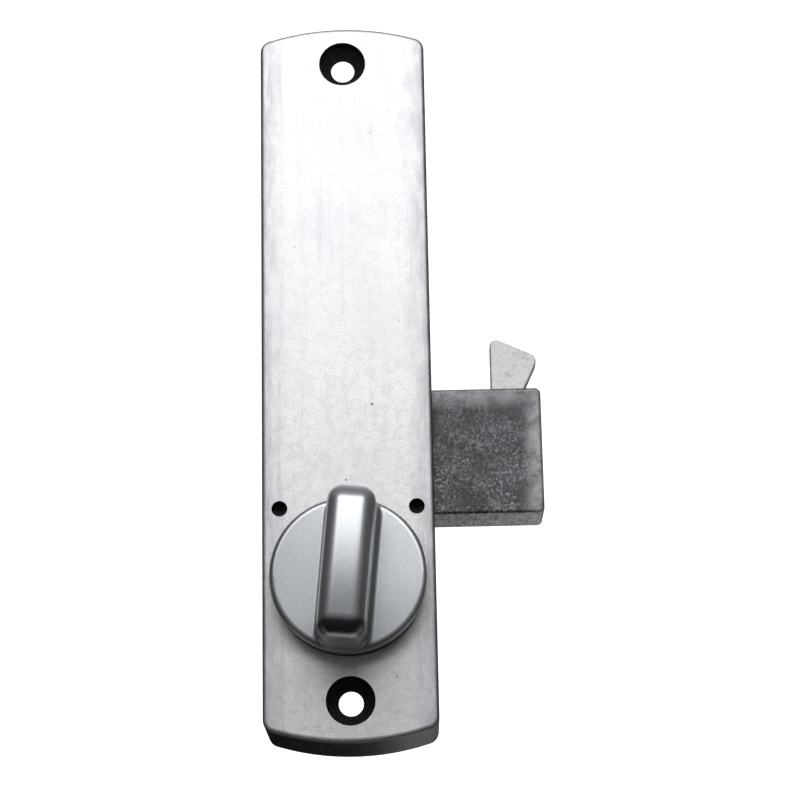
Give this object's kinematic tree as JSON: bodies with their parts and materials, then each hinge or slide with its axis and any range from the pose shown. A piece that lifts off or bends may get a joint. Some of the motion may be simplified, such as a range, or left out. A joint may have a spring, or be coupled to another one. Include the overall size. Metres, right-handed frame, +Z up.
{
  "type": "thumbturn hook latch",
  "caption": "Inside unit of a sliding-door hook latch: tall arched silver cover on a black housing, round thumbturn, side latch case and swinging hook.",
  "frame": {"origin": "centre of the mounting face, midway between the two fixing screws", "axes": "+X towards the hook, +Z up along the body, +Y into the door, -Y towards the user"},
  "size_m": [0.0658, 0.0491, 0.1754],
  "materials": {
    "cover_silver": "satin metallic paint",
    "knob_silver": "satin metallic paint",
    "housing_black": "black powder coat",
    "case_steel": "dark scratched steel",
    "hook_steel": "cast, lightly tumbled",
    "plain_steel": "zinc plated",
    "collar_black": "black moulded",
    "black_steel": "black oxide",
    "spring_steel": "drawn wire",
    "bush_brass": "turned",
    "gasket_rubber": "matt"
  },
  "bodies": {
    "base": {"front_cover": "cover_silver", "rear_housing": "housing_black", "back_plate": "plain_steel", "gasket": "gasket_rubber", "cover_screws": "plain_steel", "plate_screws": "plain_steel", "spindle_bush": "bush_brass", "case_body": "case_steel", "case_cover": "case_steel", "case_rear_screws": "plain_steel", "case_screws": "black_steel", "hook_pivot_pin": "plain_steel", "slide_guide_pins": "plain_steel", "return_spring": "spring_steel"},
    "thumbturn": {"thumbturn_knob": "knob_silver", "knob_collar": "collar_black", "knob_grub_screw": "black_steel", "spindle": "plain_steel", "thrust_washer": "plain_steel", "spindle_clip": "spring_steel", "drive_pinion": "plain_steel", "drive_hub": "plain_steel"},
    "slide": {"slide_plate": "plain_steel"},
    "hook": {"hook_bolt": "hook_steel"}
  },
  "joints": [
    {"name": "thumbturn_turn", "type": "hinge", "parent": "base", "child": "thumbturn", "pos_m": [0, -0.019, -0.0505], "axis": [0, 1, 0], "range_deg": [0, 47], "stiffness_Nm_per_rad": 0.0578, "springref_deg": -25.21},
    {"name": "slide_drop", "type": "slide", "parent": "base", "child": "slide", "axis": [0, 0, -1], "range_m": [0, 0.00559], "deforming": ["return_spring"]},
    {"name": "hook_swing", "type": "hinge", "parent": "base", "child": "hook", "pos_m": [0.0412, -0.012, -0.0111], "axis": [0, -1, 0], "range_deg": [0, 80]}
  ],
  "couplings": [
    {"joint": "slide_drop", "follows": "thumbturn_turn", "m_per_rad": 0.0068},
    {"joint": "hook_swing", "follows": "thumbturn_turn", "ratio": 1.7}
  ]
}
